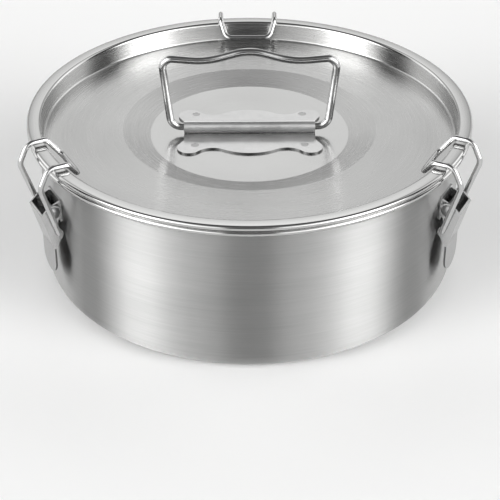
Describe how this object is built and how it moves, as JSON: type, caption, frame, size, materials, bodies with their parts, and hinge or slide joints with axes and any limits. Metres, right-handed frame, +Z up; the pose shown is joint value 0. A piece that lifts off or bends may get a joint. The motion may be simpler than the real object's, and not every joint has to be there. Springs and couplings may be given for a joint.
{
  "type": "flan mould",
  "caption": "Round steel flan mould with a recessed lid, a folding wire handle and over-centre clips whose wires hook over the rim.",
  "frame": {"origin": "centre of the pan's base, on the surface it stands on", "axes": "+Z up along the pan's axis, +X to the right along the handle's hinge, -Y towards the front, between the left and right clips"},
  "size_m": [0.1942, 0.1993, 0.103],
  "materials": {
    "brushed_sheet": "brushed round the axis",
    "bright_sheet": "polished",
    "bright_wire": "polished",
    "rivet": "polished"
  },
  "bodies": {
    "mould": {"pan": "brushed_sheet", "lid": "brushed_sheet", "handle_strap": "bright_sheet", "rear_clip_bracket": "bright_sheet", "rear_clip_pin": "rivet", "left_clip_bracket": "bright_sheet", "left_clip_pin": "rivet", "right_clip_bracket": "bright_sheet", "right_clip_pin": "rivet"},
    "handle": {"handle_bail": "bright_wire"},
    "rear_lever": {"rear_clip_lever": "bright_sheet"},
    "left_lever": {"left_clip_lever": "bright_sheet"},
    "right_lever": {"right_clip_lever": "bright_sheet"},
    "rear_bail": {"rear_clip_bail": "bright_wire"},
    "left_bail": {"left_clip_bail": "bright_wire"},
    "right_bail": {"right_clip_bail": "bright_wire"}
  },
  "joints": [
    {"name": "handle_hinge", "type": "hinge", "parent": "mould", "child": "handle", "pos_m": [0, -0.0015, 0.06572], "axis": [1, 0, 0], "range_deg": [-86, 86]},
    {"name": "rear_lever_hinge", "type": "hinge", "parent": "mould", "child": "rear_lever", "pos_m": [0, 0.0954, 0.051], "axis": [1, 0, 0], "range_deg": [0, 110]},
    {"name": "left_lever_hinge", "type": "hinge", "parent": "mould", "child": "left_lever", "pos_m": [-0.085, -0.04331, 0.051], "axis": [-0.454, 0.891, 0], "range_deg": [0, 110]},
    {"name": "right_lever_hinge", "type": "hinge", "parent": "mould", "child": "right_lever", "pos_m": [0.085, -0.04331, 0.051], "axis": [-0.454, -0.891, 0], "range_deg": [0, 110]},
    {"name": "rear_bail_hinge", "type": "hinge", "parent": "rear_lever", "child": "rear_bail", "pos_m": [0, 0.0941, 0.041], "axis": [1, 0, 0], "range_deg": [-75, 0]},
    {"name": "left_bail_hinge", "type": "hinge", "parent": "left_lever", "child": "left_bail", "pos_m": [-0.08384, -0.04272, 0.041], "axis": [-0.454, 0.891, 0], "range_deg": [-75, 0]},
    {"name": "right_bail_hinge", "type": "hinge", "parent": "right_lever", "child": "right_bail", "pos_m": [0.08384, -0.04272, 0.041], "axis": [-0.454, -0.891, 0], "range_deg": [-75, 0]}
  ],
  "couplings": [
    {"joint": "rear_bail_hinge", "follows": "rear_lever_hinge", "ratio": -0.67},
    {"joint": "left_bail_hinge", "follows": "left_lever_hinge", "ratio": -0.67},
    {"joint": "right_bail_hinge", "follows": "right_lever_hinge", "ratio": -0.67}
  ]
}
